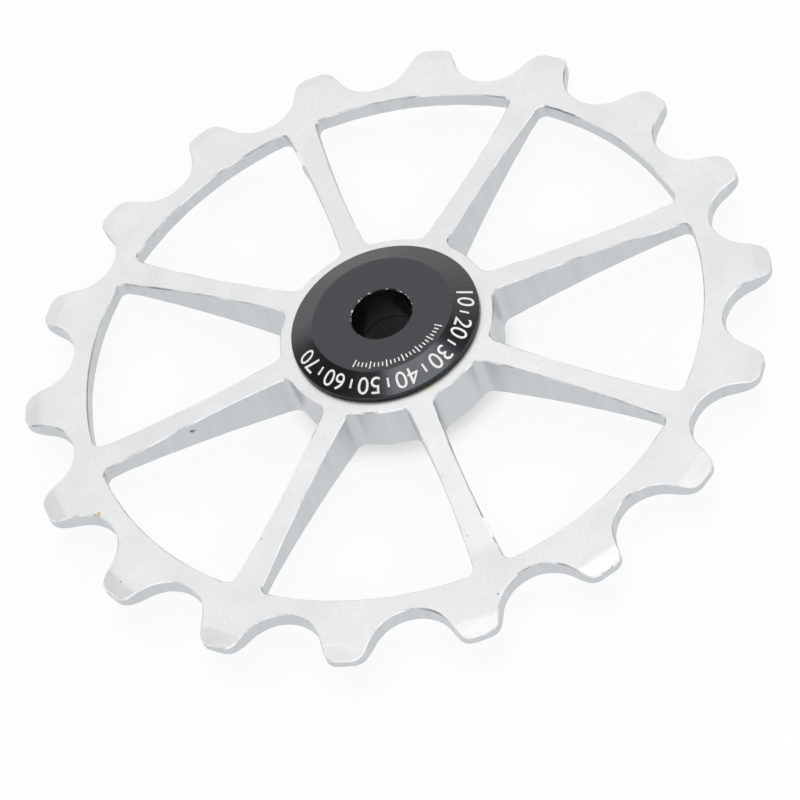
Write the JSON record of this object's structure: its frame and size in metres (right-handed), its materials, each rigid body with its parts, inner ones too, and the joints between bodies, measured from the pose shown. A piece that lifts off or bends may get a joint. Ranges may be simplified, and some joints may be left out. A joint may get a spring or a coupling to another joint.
{
  "type": "derailleur jockey wheel",
  "caption": "Machined chain guide wheel with tapered spokes and rounded teeth, turning on a sealed ball bearing between two black cone caps.",
  "frame": {"origin": "on the wheel's axis at mid-thickness", "axes": "+Z along the axis, out of the front cap; +X along a spoke that meets the ring behind the gap between two teeth"},
  "size_m": [0.0732, 0.074, 0.0086],
  "materials": {
    "machined_aluminium": "fine satin, machined",
    "black_anodised": "black anodised, satin",
    "bearing_steel": "ground",
    "ball_ceramic": "polished",
    "cage_plastic": "moulded",
    "seal_rubber": "matt"
  },
  "bodies": {
    "axle_set": {"front_cap": "black_anodised", "back_cap": "black_anodised", "bearing_inner_ring": "bearing_steel"},
    "wheel": {"toothed_wheel": "machined_aluminium", "bearing_outer_ring": "bearing_steel", "front_seal": "seal_rubber", "back_seal": "seal_rubber"},
    "ball_set": {"ball_cage": "cage_plastic", "bearing_ball_1": "ball_ceramic", "bearing_ball_2": "ball_ceramic", "bearing_ball_3": "ball_ceramic", "bearing_ball_4": "ball_ceramic", "bearing_ball_5": "ball_ceramic", "bearing_ball_6": "ball_ceramic", "bearing_ball_7": "ball_ceramic", "bearing_ball_8": "ball_ceramic", "bearing_ball_9": "ball_ceramic", "bearing_ball_10": "ball_ceramic"}
  },
  "joints": [
    {"name": "wheel_spin", "type": "hinge", "parent": "axle_set", "child": "wheel", "pos_m": [0, 0, 0], "axis": [0, 0, 1], "continuous": true},
    {"name": "cage_spin", "type": "hinge", "parent": "axle_set", "child": "ball_set", "pos_m": [0, 0, 0], "axis": [0, 0, 1], "continuous": true}
  ],
  "couplings": [
    {"joint": "cage_spin", "follows": "wheel_spin", "ratio": 0.58333}
  ]
}
